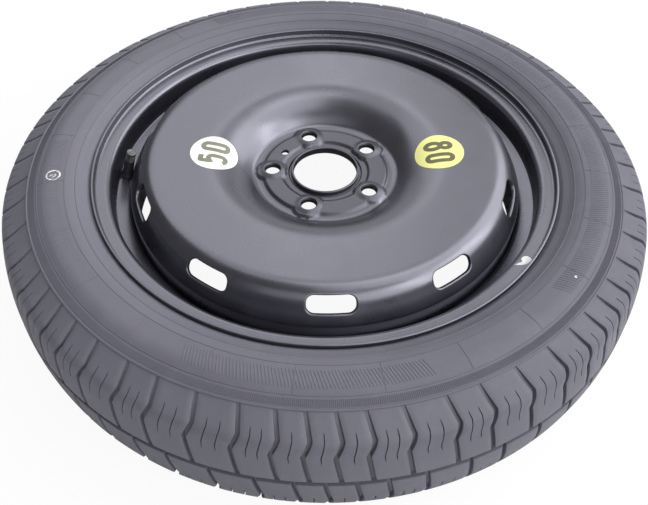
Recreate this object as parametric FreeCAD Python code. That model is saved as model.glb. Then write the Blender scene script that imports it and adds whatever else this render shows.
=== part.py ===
import FreeCAD, Part
import math
import os

os.makedirs("parts", exist_ok=True)

# Frame: origin on the wheel axis in the hub mounting face, +Z towards the outer face of the wheel.
# All lengths are in millimetres and all angles in degrees.

# Rim: one rolled steel band
bead_seat_dia = 436.6
rim_width = 101.6           # between the two flange faces
wheel_offset = 38.0         # from the rim's centre plane out to the hub face
rim_sheet = 2.6
flange_height = 17.3
flange_bend = 9.5
flange_tip = 0.7            # straight run past the flange bend
heel_bend = 6.5
seat_length = 19.0
seat_taper = 5.0
hump_height = 1.2
hump_length = 6.4
hump_bend = 3.0
well_depth = 17.5
well_wall_tilt = 17.0       # tilt of the well's side wall from a plane square to the axis
well_bend = 3.0

# Wheel disc: one pressed steel sheet, welded into the drop centre
disc_sheet = 3.8
disc_fit = 0.05
disc_seat_length = 16.0
disc_seat_past_centre = 6.0
disc_seat_bend = 8.0
flank_foot_inset = 10.2     # from the seat in to the foot of the flank
flank_foot_rise = 20.0      # from the seat's upper end to the foot of the flank
flank_bend = 30.0
crown_inset = 14.6          # from the seat in to the corner of the crown
crown_height = 30.9         # over the hub face, at the outer corner
crown_slope = 2.1
crown_bend = 19.5
bowl_foot_gap = 9.7         # from the raised pad out to the foot of the bowl's wall
bowl_wall_tilt = 25.0       # from the axis
bowl_foot_bend = 7.0
bowl_rim_bend = 26.0
bore_dia = 65.1
collar_height = 7.5
collar_wall = 2.5
collar_foot = 1.5
pad_inner_dia = 89.0
pad_outer_dia = 127.0
pad_rise = 2.6
pad_ramp = 3.0

# Bolt seats, locating hole and vent slots
bolt_count = 5
bolt_circle_dia = 108.0
bolt_clock = 180.0
bolt_hole_dia = 15.0
bolt_cone_dia = 19.2
bolt_cone_angle = 60.0
seat_top_dia = 21.6
seat_rise = 2.0             # over the raised pad
hill_foot_dia = 40.0        # the pad climbs to each bolt seat from here
lobe_foot_dia = 33.0        # the pad bulges round each bolt seat
lobe_top_dia = 29.0
locating_hole_dia = 7.5
locating_circle_dia = 100.0
locating_clock = 147.0
slot_count = 9
slot_width = 46.0
slot_height = 19.0
slot_corner = 7.5
slot_clock = 271.8
slot_below_crown = 9.4

# Weld beads at the disc's inner edge
weld_count = 6
weld_arc = 30.0
weld_leg = 3.2
weld_fit = 0.03

# Tyre: one moulded piece
tyre_dia = 652.0
section_width = 136.0
crown_flat_width = 42.0
crown_width = 87.6
crown_drop = 4.8
tread_width = 98.2
shoulder_drop = 9.0
buttress_inset = 13.6       # from the widest section in to the foot of the shoulder
buttress_share = 0.2212     # shares of the height of the section over the flange
knurl_share = 0.3717
knurl_width = 6.6
knurl_inset = 6.8
knurl_slope = 2.2
upper_wall_share = 0.5531
lower_wall_share = 0.1814
wall_round_share = 0.3319
bead_band_rise = 7.4
bead_band_inset = 5.8
lip_gap = 1.0
lip_cover = 7.4             # how far the tyre reaches out over the flange bend
lip_hug = 5.3               # how much of that lies on the flange
bead_width = 18.0
bead_fit = 0.05
bead_toe_round = 1.5
bead_inner_rise = 20.0
wall_thickness = 7.0
tread_thickness = 13.5
liner_shoulder_inset = 28.0
liner_wall_share = 0.4535
groove_width = 6.0
groove_depth = 4.6

# Cross grooves of the tread, each with two bends, in three pitches that repeat round the tyre
pitch_shares = {"S": 0.8, "M": 1.0, "L": 1.2}
pitch_pattern = "SMLMLLMSS"
pattern_repeats = 7
pitch_clock = 271.5
lower_pitch_lead = 3.2      # how far the lower side's grooves are turned from the upper ones
cross_groove_width = 4.4
cross_groove_depth = 4.0
cross_groove_runout = 1.0   # from the knurled band to the outer end
cross_groove_swing = 5.5
inner_bend_width = 72.0     # the outer bend is at the edge of the tread

# Valve: rubber snap-in body with a brass stem, core and cap, heights from the well wall it sits in
valve_clock = 176.7
valve_seat_rise = 0.2       # from the middle of the well's side wall
valve_hole_dia = 11.3
valve_fit = 0.05
valve_base_dia = 13.2
valve_base_end_dia = 9.9
valve_base_length = 5.5
valve_collar_dia = 13.2
valve_collar_length = 4.6
valve_neck_dia = 11.2
valve_top_dia = 9.2
valve_body_length = 21.5
stem_shank_dia = 6.5
stem_thread_dia = 7.7
stem_thread_length = 9.4
stem_foot = 5.0             # reach of the stem into the base
stem_bore_dia = 3.7
core_thread_dia = 5.3
core_thread_depth = 6.4
core_cone_length = 1.5
core_fit = 0.05
barrel_dip = 0.9            # barrel's top below the end of the stem
barrel_tube_dia = 3.3
barrel_tube_length = 8.6
barrel_lip = 0.8
spring_bore_dia = 2.6
pin_dia = 1.4
pin_fit = 0.08
pin_dip = 0.3               # pin's top below the end of the stem
pin_collar_dia = 2.3
pin_collar_length = 0.8
spring_wire = 0.3
spring_turns = 5
spring_length = 5.0
seal_thickness = 1.6
seal_dia = 3.2
plunger_length = 2.0
gasket_lift = 0.5           # from the foot of the stem's cone
gasket_edge = 0.1
cap_dia = 9.8
cap_disc_height = 2.6       # the wide disc at the cap's top
cap_skirt_dia = 9.0
cap_gap = 0.4
cap_thread_fit = 0.15
cap_top = 1.6
cap_edge_round = 0.8
cap_seal_thickness = 1.0
cap_seal_hole_dia = 2.4

# Stickers on the disc
label_dia = 50.0
label_thickness = 0.25
label_glue = 0.05
label_50_reach = 26.9       # from the bowl's rim out to the sticker's centre
label_50_clock = 180.4
label_80_reach = 31.9
label_80_clock = 0.6

# How far a cutter stands out of the sheet it cuts, and when two points count as one
cutter_reach = 8.0
same_point = 1e-6

V = FreeCAD.Vector
origin = V(0, 0, 0)
axis = V(0, 0, 1)
seat_r = bead_seat_dia / 2
flange_r = seat_r + flange_height
half_rim = rim_width / 2
well_r = seat_r - well_depth
centre_z = -wheel_offset
taper_run = math.tan(math.radians(seat_taper))


def direction(start, end):
    return (end - start).normalize()


def left_of(heading):
    return V(-heading.z, 0, heading.x)


# Straight runs joined by tangent arcs. Each point is (radius, height, bend radius).
def path_edges(points, closed=False):
    spots = [V(r, 0, z) for r, z, bend in points]
    count = len(spots)
    arrive = []
    leave = []
    edges = []
    for i, spot in enumerate(spots):
        bend = points[i][2]
        if bend <= 0 or not (closed or 0 < i < count - 1):
            arrive.append(spot)
            leave.append(spot)
            continue
        before = direction(spots[i - 1], spot)
        after = direction(spot, spots[(i + 1) % count])
        turn = before.getAngle(after)
        reach = bend * math.tan(turn / 2)
        middle = spot + (after - before).normalize() * (bend / math.cos(turn / 2) - bend)
        arrive.append(spot - before * reach)
        leave.append(spot + after * reach)
        edges.append(Part.Arc(arrive[i], middle, leave[i]).toShape())
    for i in range(count if closed else count - 1):
        end = arrive[(i + 1) % count]
        if (end - leave[i]).Length > same_point:
            edges.append(Part.LineSegment(leave[i], end).toShape())
    return edges


# The same path moved sideways, to its left for a positive distance, with its bends kept concentric
def moved_path(points, distance):
    spots = [V(r, 0, z) for r, z, bend in points]
    last = len(spots) - 1
    moved = []
    for i, spot in enumerate(spots):
        before = direction(spots[max(i - 1, 0)], spots[max(i, 1)])
        after = direction(spots[min(i, last - 1)], spots[min(i + 1, last)])
        side_in = left_of(before)
        side_out = left_of(after)
        place = spot + (side_in + side_out) * (distance / (1 + side_in.dot(side_out)))
        turns_left = before.x * after.z - before.z * after.x > 0
        bend = points[i][2]
        if bend > 0:
            bend += -distance if turns_left else distance
        moved.append((place.x, place.z, bend))
    return moved


def turned(edges, sweep=360.0):
    wire = Part.Wire(Part.sortEdges(edges)[0])
    return Part.Face(wire).revolve(origin, axis, sweep)


def ring(points):
    return turned(path_edges(points, closed=True))


# A sheet that follows a path, between two sideways distances
def sheet_ring(points, low, high):
    low_side = moved_path(points, low)
    high_side = moved_path(points, high)
    edges = path_edges(low_side) + path_edges(high_side)
    for end in (0, -1):
        start = V(low_side[end][0], 0, low_side[end][1])
        stop = V(high_side[end][0], 0, high_side[end][1])
        edges.append(Part.LineSegment(start, stop).toShape())
    return turned(edges)


def spun(shape, angle):
    copy = shape.copy()
    copy.rotate(origin, axis, angle)
    return copy


def around(shape, count, first=0.0):
    return [spun(shape, first + i * 360.0 / count) for i in range(count)]


def save(name, shape):
    shape.exportStep("parts/" + name + ".step")


# Rim: path of the face that meets the tyre, from the outer flange to the inner one
seat_end_r = seat_r - seat_length * taper_run
hump_w = half_rim - seat_length - hump_length / 2
wall_top_w = half_rim - seat_length - hump_length
well_half = wall_top_w - (seat_end_r - well_r) * math.tan(math.radians(well_wall_tilt))
flange_end_w = half_rim + flange_bend + flange_tip


def rim_path():
    half = [
        (flange_r, flange_end_w, 0),
        (flange_r, half_rim, flange_bend),
        (seat_r, half_rim, heel_bend),
        (seat_end_r, half_rim - seat_length, 0),
        (seat_end_r + hump_height, hump_w, 0),
        (seat_end_r, wall_top_w, hump_bend),
        (well_r, well_half, well_bend),
    ]
    other = [(r, -w, bend) for r, w, bend in reversed(half)]
    return [(r, centre_z + w, bend) for r, w, bend in half + other]


# Valve seat on the outer side wall of the well, and the turn that stands a piece on it
tilt = math.radians(well_wall_tilt)
wall_r = (seat_end_r + well_r) / 2 + valve_seat_rise
wall_z = centre_z + wall_top_w - (seat_end_r - wall_r) * math.tan(tilt)
valve_foot = V(wall_r - rim_sheet * math.sin(tilt), 0, wall_z + rim_sheet * math.cos(tilt))


def at_valve(shape):
    placed = shape.copy()
    placed.rotate(origin, V(0, 1, 0), -well_wall_tilt)
    placed.translate(valve_foot)
    placed.rotate(origin, axis, valve_clock)
    return placed


def make_rim():
    band = sheet_ring(rim_path(), -rim_sheet, 0)
    hole = Part.makeCylinder(valve_hole_dia / 2, rim_sheet + 2 * cutter_reach,
                             V(0, 0, -rim_sheet - cutter_reach))
    return band.cut(at_valve(hole))


# Disc: path of its outer face, from the hub out to the seat in the drop centre
disc_seat_r = well_r - rim_sheet - disc_fit
disc_end_z = centre_z - disc_seat_past_centre
disc_seat_z = disc_end_z + disc_seat_length
crown_r = disc_seat_r - crown_inset
pad_out_r = pad_outer_dia / 2
bowl_foot_r = pad_out_r + bowl_foot_gap
bowl_lean = math.tan(math.radians(bowl_wall_tilt))
crown_fall = math.tan(math.radians(crown_slope))
pad_top = disc_sheet + pad_rise
# where the bowl's wall meets the crown's cone
bowl_rim_z = (crown_height - (crown_r - bowl_foot_r + disc_sheet * bowl_lean) * crown_fall)
bowl_rim_z /= 1 - bowl_lean * crown_fall
bowl_rim_r = bowl_foot_r + (bowl_rim_z - disc_sheet) * bowl_lean


def crown_path():
    return [
        (bowl_foot_r, disc_sheet, bowl_foot_bend),
        (bowl_rim_r, bowl_rim_z, bowl_rim_bend),
        (crown_r, crown_height, crown_bend),
    ]


def disc_path():
    pad_in_r = pad_inner_dia / 2
    hub = [
        (bore_dia / 2, disc_sheet, 0),
        (pad_in_r - pad_ramp / 2, disc_sheet, 0),
        (pad_in_r + pad_ramp / 2, pad_top, 0),
        (pad_out_r - pad_ramp / 2, pad_top, 0),
        (pad_out_r + pad_ramp / 2, disc_sheet, 0),
    ]
    flank = [
        (disc_seat_r - flank_foot_inset, disc_seat_z + flank_foot_rise, flank_bend),
        (disc_seat_r, disc_seat_z, disc_seat_bend),
        (disc_seat_r, disc_end_z, 0),
    ]
    return hub + crown_path() + flank


def make_disc():
    hub_r = bore_dia / 2
    sheet = sheet_ring(disc_path(), -disc_sheet, 0)
    collar = ring([
        (hub_r, 0, 0),
        (hub_r + collar_wall + collar_foot, 0, 0),
        (hub_r + collar_wall + collar_foot, disc_sheet, 0),
        (hub_r + collar_wall, disc_sheet + collar_foot, 0),
        (hub_r + collar_wall, collar_height, 0),
        (hub_r, collar_height, 0),
    ])
    seat_top = pad_top + seat_rise
    bolt_spot = V(bolt_circle_dia / 2, 0, 0)
    on_pad = bolt_spot + V(0, 0, pad_top)
    lobe = Part.makeCone(lobe_foot_dia / 2, lobe_top_dia / 2, pad_rise, bolt_spot + V(0, 0, disc_sheet))
    hill = Part.makeCone(hill_foot_dia / 2, seat_top_dia / 2, seat_rise, on_pad)
    pad_start = pad_inner_dia / 2 + pad_ramp / 2
    pad_end = pad_out_r - pad_ramp / 2
    pad_area = ring([
        (pad_start, pad_top, 0),
        (pad_end, pad_top, 0),
        (pad_end, seat_top, 0),
        (pad_start, seat_top, 0),
    ])
    lobe_area = Part.makeCylinder(lobe_top_dia / 2, seat_rise, on_pad)
    bolt_seat = lobe.fuse(hill.common(pad_area.fuse(lobe_area)))
    cone_depth = (bolt_cone_dia - bolt_hole_dia) / 2 / math.tan(math.radians(bolt_cone_angle / 2))
    drill_length = seat_top + 2 * cutter_reach
    bolt_hole = Part.makeCylinder(bolt_hole_dia / 2, drill_length, bolt_spot - V(0, 0, cutter_reach))
    bolt_cone = Part.makeCone(bolt_hole_dia / 2, bolt_cone_dia / 2, cone_depth,
                              bolt_spot + V(0, 0, seat_top - cone_depth))
    locating = Part.makeCylinder(locating_hole_dia / 2, drill_length,
                                 V(locating_circle_dia / 2, 0, -cutter_reach))
    slot_z = crown_height - slot_below_crown - slot_height
    slot = Part.makeBox(2 * crown_bend, slot_width, slot_height,
                        V(crown_r - crown_bend, -slot_width / 2, slot_z))
    along = [e for e in slot.Edges if abs(e.Vertexes[0].X - e.Vertexes[1].X) > crown_bend]
    slot = slot.makeFillet(slot_corner, along)
    disc = sheet.fuse([collar] + around(bolt_seat, bolt_count, bolt_clock))
    cuts = around(bolt_hole.fuse(bolt_cone), bolt_count, bolt_clock)
    cuts += around(slot, slot_count, slot_clock)
    cuts.append(spun(locating, locating_clock))
    return disc.cut(cuts).removeSplitter()


def make_welds():
    outer = disc_seat_r + disc_fit - weld_fit
    top = disc_end_z - weld_fit
    bead = [(outer, top, 0), (outer, top - weld_leg, 0), (outer - weld_leg, top, 0)]
    weld = turned(path_edges(bead, closed=True), weld_arc)
    return Part.makeCompound(around(weld, weld_count))


# Tyre: section on the outer side of the centre plane, from the centre groove round to the bead toe
tyre_r = tyre_dia / 2
half_section = section_width / 2
half_tread = tread_width / 2
half_groove = groove_width / 2
liner_r = tyre_r - tread_thickness
section_height = tyre_r - flange_r
knurl_r = tyre_r - knurl_share * section_height
lower_wall_r = flange_r + lower_wall_share * section_height


def tyre_outer_half():
    wall_round = wall_round_share * section_height
    return [
        (tyre_r - groove_depth, half_groove, 0),
        (tyre_r, half_groove, 0),
        (tyre_r, crown_flat_width / 2, 0),
        (tyre_r - crown_drop, crown_width / 2, 0),
        (tyre_r - shoulder_drop, half_tread, 0),
        (tyre_r - buttress_share * section_height, half_section - buttress_inset, 0),
        (knurl_r, half_section - knurl_inset, 0),
        (knurl_r - knurl_width, half_section - knurl_inset + knurl_slope, 0),
        (tyre_r - upper_wall_share * section_height, half_section, wall_round),
        (lower_wall_r, half_section, wall_round),
        (flange_r + bead_band_rise, half_section - bead_band_inset, 0),
        (flange_r + lip_gap, half_rim + lip_cover, 0),
    ]


def tyre_bead_half():
    toe_w = half_rim - bead_width
    toe_r = seat_r - bead_width * taper_run + bead_fit
    hug_r = flange_r + bead_fit
    hug_w = half_rim - bead_fit
    return [
        (hug_r, hug_w + lip_hug, 0),
        (hug_r, hug_w, flange_bend + bead_fit),
        (seat_r + bead_fit, hug_w, heel_bend - bead_fit),
        (toe_r, toe_w, bead_toe_round),
        (seat_r + bead_inner_rise, half_rim - bead_width / 2, 0),
        (lower_wall_r, half_section - wall_thickness, 0),
        (tyre_r - liner_wall_share * section_height, half_section - wall_thickness, 0),
        (liner_r, half_section - liner_shoulder_inset, 0),
    ]


def make_tyre():
    half = tyre_outer_half() + tyre_bead_half()
    other = [(r, -w, bend) for r, w, bend in reversed(half)]
    section = [(r, centre_z + w, bend) for r, w, bend in half + other]
    body = ring(section)
    upper = cross_groove(1)
    lower = cross_groove(-1)
    grooves = []
    for clock in pitch_clocks():
        grooves.append(spun(upper, clock))
        grooves.append(spun(lower, clock + lower_pitch_lead))
    return body.cut(grooves)


# Where each pitch of the tread starts, round the axis
def pitch_clocks():
    shares = [pitch_shares[letter] for letter in pitch_pattern * pattern_repeats]
    share_angle = 360.0 / sum(shares)
    return [pitch_clock + share_angle * sum(shares[:i]) for i in range(len(shares))]


# One cross groove as a cutter, from the foot of the shoulder to the centre groove. side is 1 or -1.
def cross_groove(side):
    outer_w = half_section - knurl_inset - cross_groove_runout
    inner_w = half_groove / 2
    floors = [
        (outer_w, knurl_r, 0),
        (half_tread, tyre_r - shoulder_drop - cross_groove_depth, cross_groove_swing),
        (inner_bend_width / 2, tyre_r - crown_drop - cross_groove_depth, 0),
        (inner_w, tyre_r - cross_groove_depth, cross_groove_swing),
    ]
    top_r = tyre_r + cross_groove_depth
    half = cross_groove_width / 2

    def corner(r, w, swing, edge):
        return V(r, side * (swing - cross_groove_swing / 2) + edge * half, centre_z + side * w)

    def face(points):
        return Part.Face(Part.makePolygon(points + points[:1]))

    faces = []
    for (w1, r1, s1), (w2, r2, s2) in zip(floors, floors[1:]):
        faces.append(face([corner(r1, w1, s1, -1), corner(r1, w1, s1, 1),
                           corner(r2, w2, s2, 1), corner(r2, w2, s2, -1)]))
        for edge in (-1, 1):
            faces.append(face([corner(r1, w1, s1, edge), corner(r2, w2, s2, edge),
                               corner(top_r, w2, s2, edge), corner(top_r, w1, s1, edge)]))
    for w, r, s in (floors[0], floors[-1]):
        faces.append(face([corner(r, w, s, -1), corner(r, w, s, 1),
                           corner(top_r, w, s, 1), corner(top_r, w, s, -1)]))
    left = [corner(top_r, w, s, -1) for w, r, s in floors]
    right = [corner(top_r, w, s, 1) for w, r, s in reversed(floors)]
    faces.append(face(left + right))
    return Part.makeSolid(Part.makeShell(faces))


# Valve pieces, drawn upright on their own axis
neck_r = valve_hole_dia / 2 - valve_fit
shank_r = stem_shank_dia / 2
thread_r = stem_thread_dia / 2
stem_end = valve_body_length + stem_thread_length
stem_start = -rim_sheet - stem_foot
bore_r = stem_bore_dia / 2
core_r = core_thread_dia / 2
core_floor = stem_end - core_thread_depth
cone_end = core_floor - core_cone_length


def make_valve_body():
    base_r = valve_base_dia / 2
    base_top = -rim_sheet - valve_fit
    base_end = base_top - valve_base_length
    collar_r = valve_collar_dia / 2
    return ring([
        (bore_r, base_end, 0),
        (valve_base_end_dia / 2, base_end, 0),
        (base_r, base_top - valve_base_length / 2, 0),
        (base_r, base_top, 0),
        (neck_r, base_top, 0),
        (neck_r, valve_fit, 0),
        (collar_r, valve_fit, 0),
        (collar_r, valve_collar_length / 2, 0),
        (valve_neck_dia / 2, valve_collar_length, 0),
        (valve_top_dia / 2, valve_body_length - valve_fit, 0),
        (shank_r + valve_fit, valve_body_length - valve_fit, 0),
        (shank_r + valve_fit, stem_start - valve_fit, 0),
        (bore_r, stem_start - valve_fit, 0),
    ])


def make_valve_stem():
    return ring([
        (bore_r, stem_start, 0),
        (shank_r, stem_start, 0),
        (shank_r, valve_body_length, 0),
        (thread_r, valve_body_length, 0),
        (thread_r, stem_end, 0),
        (core_r, stem_end, 0),
        (core_r, core_floor, 0),
        (bore_r, cone_end, 0),
    ])


# Valve core: barrel screwed into the stem, pin with collar and plunger, spring, seal and gasket
barrel_top = stem_end - barrel_dip
barrel_end = core_floor - barrel_tube_length
tube_r = barrel_tube_dia / 2
spring_r = spring_bore_dia / 2
guide_r = pin_dia / 2 + pin_fit
spring_floor = barrel_end + barrel_lip
spring_top = spring_floor + spring_length
collar_top = spring_top + pin_fit + pin_collar_length
pin_top = stem_end - pin_dip
seal_end = barrel_end - core_fit - seal_thickness


def make_core_barrel():
    thread = core_r - core_fit
    return ring([
        (guide_r, barrel_top, 0),
        (thread, barrel_top, 0),
        (thread, core_floor + core_fit, 0),
        (tube_r, core_floor + core_fit, 0),
        (tube_r, barrel_end, 0),
        (guide_r, barrel_end, 0),
        (guide_r, spring_floor, 0),
        (spring_r, spring_floor, 0),
        (spring_r, collar_top + core_fit, 0),
        (guide_r, collar_top + core_fit, 0),
    ])


def make_core_pin():
    rod = pin_dia / 2
    plunger_r = seal_dia / 2
    plunger_top = seal_end - core_fit
    return turned(path_edges([
        (0, pin_top, 0),
        (rod, pin_top, 0),
        (rod, collar_top, 0),
        (pin_collar_dia / 2, collar_top, 0),
        (pin_collar_dia / 2, collar_top - pin_collar_length, 0),
        (rod, collar_top - pin_collar_length, 0),
        (rod, plunger_top, 0),
        (plunger_r, plunger_top, 0),
        (plunger_r, plunger_top - plunger_length, 0),
        (0, plunger_top - plunger_length, 0),
    ], closed=True))


def make_core_seal():
    inner = pin_dia / 2 + core_fit
    seal_top = seal_end + seal_thickness
    return ring([(inner, seal_end, 0), (seal_dia / 2, seal_end, 0),
                 (seal_dia / 2, seal_top, 0), (inner, seal_top, 0)])


def make_core_spring():
    half_wire = spring_wire / 2
    coil_r = (guide_r + spring_r) / 2
    start = spring_floor + core_fit + half_wire
    rise = spring_length - spring_wire - 2 * core_fit
    coil = Part.makeHelix(rise / spring_turns, rise, coil_r)
    coil.translate(V(0, 0, start))
    corners = []
    for out, up in ((-1, -1), (1, -1), (1, 1), (-1, 1)):
        corners.append(V(coil_r + out * half_wire, 0, start + up * half_wire))
    section = Part.makePolygon(corners + corners[:1])
    return Part.Wire(coil).makePipeShell([section], True, True)


def make_core_gasket():
    slope = (core_r - bore_r) / core_cone_length
    top = core_floor - core_fit
    low = cone_end + gasket_lift
    gap = core_fit * 2
    inner = tube_r + core_fit
    return ring([
        (inner, low, 0),
        (max(bore_r + slope * (low - cone_end) - gap, inner + gasket_edge), low, 0),
        (bore_r + slope * (top - cone_end) - gap, top, 0),
        (inner, top, 0),
    ])


# Cap screwed over the stem, with its loose seal washer
seal_rest = stem_end + valve_fit
cap_roof = seal_rest + cap_seal_thickness + valve_fit


def make_cap():
    outer = cap_dia / 2
    inner = thread_r + cap_thread_fit
    start = valve_body_length + cap_gap
    end = cap_roof + cap_top
    return turned(path_edges([
        (inner, start, 0),
        (cap_skirt_dia / 2, start, 0),
        (cap_skirt_dia / 2, end - cap_disc_height, 0),
        (outer, end - cap_disc_height, 0),
        (outer, end, cap_edge_round),
        (0, end, 0),
        (0, cap_roof, 0),
        (inner, cap_roof, 0),
    ], closed=True))


def make_cap_seal():
    hole = cap_seal_hole_dia / 2
    edge = thread_r
    top = seal_rest + cap_seal_thickness
    return ring([(hole, seal_rest, 0), (edge, seal_rest, 0), (edge, top, 0), (hole, top, 0)])


def make_label(reach, clock):
    film = sheet_ring(crown_path(), label_glue, label_glue + label_thickness)
    stamp = Part.makeCylinder(label_dia / 2, crown_height, V(bowl_rim_r + reach, 0, crown_height / 2))
    return film.common(spun(stamp, clock))


save("rim", make_rim())
save("wheel_disc", make_disc())
save("disc_welds", make_welds())
save("tyre", make_tyre())
save("valve_body", at_valve(make_valve_body()))
save("valve_stem", at_valve(make_valve_stem()))
save("valve_core_barrel", at_valve(make_core_barrel()))
save("valve_core_pin", at_valve(make_core_pin()))
save("valve_core_seal", at_valve(make_core_seal()))
save("valve_core_spring", at_valve(make_core_spring()))
save("valve_core_gasket", at_valve(make_core_gasket()))
save("valve_cap", at_valve(make_cap()))
save("valve_cap_seal", at_valve(make_cap_seal()))
save("speed_label_50", make_label(label_50_reach, label_50_clock))
save("speed_label_80", make_label(label_80_reach, label_80_clock))
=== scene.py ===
import bmesh
import bpy
import math
import numpy as np
from mathutils import Matrix, Vector
from mathutils.geometry import delaunay_2d_cdt


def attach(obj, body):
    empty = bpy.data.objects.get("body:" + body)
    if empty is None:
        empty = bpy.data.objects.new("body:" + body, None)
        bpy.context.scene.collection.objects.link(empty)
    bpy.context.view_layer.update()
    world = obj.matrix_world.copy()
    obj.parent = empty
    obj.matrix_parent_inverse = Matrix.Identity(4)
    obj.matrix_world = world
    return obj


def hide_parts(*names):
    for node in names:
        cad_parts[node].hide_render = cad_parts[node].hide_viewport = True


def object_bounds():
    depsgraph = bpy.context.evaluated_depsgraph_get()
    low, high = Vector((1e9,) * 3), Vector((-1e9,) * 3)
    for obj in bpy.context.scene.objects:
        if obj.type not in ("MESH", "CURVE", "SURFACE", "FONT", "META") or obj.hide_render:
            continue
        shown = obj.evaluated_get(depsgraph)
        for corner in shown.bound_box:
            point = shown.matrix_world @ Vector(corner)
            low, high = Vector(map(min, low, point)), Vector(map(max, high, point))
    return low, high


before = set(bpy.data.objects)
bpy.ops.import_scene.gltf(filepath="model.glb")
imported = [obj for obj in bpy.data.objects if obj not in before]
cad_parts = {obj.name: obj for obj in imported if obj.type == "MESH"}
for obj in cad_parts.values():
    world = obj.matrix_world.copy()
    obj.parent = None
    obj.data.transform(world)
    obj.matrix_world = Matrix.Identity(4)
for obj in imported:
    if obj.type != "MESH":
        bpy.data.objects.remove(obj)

cadLow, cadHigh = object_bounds()
scene = bpy.context.scene
scene.view_settings.view_transform = "Standard"
mm = 0.001   # all sizes below are in millimetres, the scene is in metres
midHeight = -38.0   # the middle of tyre and rim, from the hub's mounting face
weldGap = 0.02   # points closer than this are one


# helpers are kept plain: paths, rings and meshes
def evenTurns(count):
    return np.linspace(0, 2 * math.pi, count, endpoint=False)


def directionOf(fromPoint, toPoint):
    step = np.subtract(toPoint, fromPoint)
    return step / np.linalg.norm(step)


# a path of straight runs and tangent arcs; each corner is (radius, height, bend)
# gives rows of (radius, height, normal radius, normal height), normals on the left of the heading
def bentPath(corners, arcStep, lineStep):
    spots = [np.array(c[:2], float) for c in corners]
    arcs = {}
    ends = {}
    for i, spot in enumerate(spots):
        bend = corners[i][2]
        ends[i] = (spot, spot)
        if bend <= 0 or i in (0, len(spots) - 1):
            continue
        before = directionOf(spots[i - 1], spot)
        after = directionOf(spot, spots[i + 1])
        cross = before[0] * after[1] - before[1] * after[0]
        turn = math.atan2(cross, float(before @ after))
        reach = bend * math.tan(abs(turn) / 2)
        ends[i] = (spot - before * reach, spot + after * reach)
        side = np.array([-before[1], before[0]]) * (1 if turn > 0 else -1)
        arcs[i] = (ends[i][0] + side * bend, turn, before)
    rows = []

    def addRow(point, heading):
        rows.append((point[0], point[1], -heading[1], heading[0]))

    for i in range(len(spots)):
        if i in arcs:
            centre, turn, before = arcs[i]
            count = max(2, int(math.ceil(abs(math.degrees(turn)) / arcStep)))
            first = ends[i][0] - centre
            for k in range(count + 1):
                a = turn * k / count
                c, s = math.cos(a), math.sin(a)
                spoke = np.array([c * first[0] - s * first[1], s * first[0] + c * first[1]])
                heading = np.array([c * before[0] - s * before[1], s * before[0] + c * before[1]])
                addRow(centre + spoke, heading)
        else:
            for near, far in ((i - 1, i), (i, i + 1)):
                if 0 <= near and far < len(spots):
                    addRow(spots[i], directionOf(ends[near][1], ends[far][0]))
        if i + 1 < len(spots):
            a, b = ends[i][1], ends[i + 1][0]
            length = np.linalg.norm(b - a)
            for k in range(1, int(length / lineStep) + 1):
                share = k / (int(length / lineStep) + 1)
                addRow(a + (b - a) * share, directionOf(a, b))
    return np.array(rows)


def turnedRing(radius, height, angles):
    return np.stack([radius * np.cos(angles), radius * np.sin(angles), np.full(len(angles), height)], 1)


# joins a pile of closed rings; rings of one count get quads, other pairs are zipped with triangles
def joinRings(rings, closed=True):
    points = np.concatenate(rings)
    starts = np.concatenate([[0], np.cumsum([len(r) for r in rings])])
    faces = []
    pairs = [(i, i + 1) for i in range(len(rings) - 1)]
    if closed:
        pairs.append((len(rings) - 1, 0))
    for a, b in pairs:
        na, nb = len(rings[a]), len(rings[b])
        if na == nb:
            for j in range(na):
                k = (j + 1) % na
                faces.append((starts[a] + j, starts[a] + k, starts[b] + k, starts[b] + j))
        else:
            faces += zipRings(rings[a], rings[b], starts[a], starts[b])
    return points, faces


def zipRings(ringA, ringB, startA, startB):
    angleA = np.unwrap(np.arctan2(ringA[:, 1], ringA[:, 0]))
    angleB = np.unwrap(np.arctan2(ringB[:, 1], ringB[:, 0]))
    shift = int(np.argmin(np.abs((angleB - angleA[0] + math.pi) % (2 * math.pi) - math.pi)))
    angleB = np.unwrap(np.roll(angleB, -shift))
    angleB += 2 * math.pi * round((angleA[0] - angleB[0]) / (2 * math.pi))
    na, nb = len(ringA), len(ringB)
    fullA = np.append(angleA, angleA[0] + 2 * math.pi)
    fullB = np.append(angleB, angleB[0] + 2 * math.pi)
    i = j = 0
    faces = []
    while i < na or j < nb:
        a = startA + i % na
        b = startB + (j + shift) % nb
        if j >= nb or (i < na and fullA[i + 1] <= fullB[j + 1]):
            faces.append((a, startA + (i + 1) % na, b))
            i += 1
        else:
            faces.append((a, startB + (j + 1 + shift) % nb, b))
            j += 1
    return faces


def addPiece(name, points, faces, material, body="wheel", sharpAngle=35.0, weld=False):
    mesh = bpy.data.meshes.new(name)
    mesh.from_pydata((np.asarray(points) * mm).tolist(), [], [tuple(int(v) for v in f) for f in faces])
    mesh.validate()
    shape = bmesh.new()
    shape.from_mesh(mesh)
    if weld:
        bmesh.ops.remove_doubles(shape, verts=shape.verts, dist=weldGap * mm)
    bmesh.ops.recalc_face_normals(shape, faces=shape.faces)
    shape.to_mesh(mesh)
    shape.free()
    mesh.polygons.foreach_set("use_smooth", [True] * len(mesh.polygons))
    mesh.set_sharp_from_angle(angle=math.radians(sharpAngle))
    mesh.materials.append(material)
    piece = bpy.data.objects.new(name, mesh)
    scene.collection.objects.link(piece)
    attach(piece, body)
    return piece


def dress(node, material):
    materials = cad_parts[node].data.materials
    materials.clear()
    materials.append(material)


# node helpers for the finishes
def newFinish(name):
    finish = bpy.data.materials.new(name)
    finish.use_nodes = True
    nodes = finish.node_tree.nodes
    return finish, nodes, finish.node_tree.links, nodes["Principled BSDF"]


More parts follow.
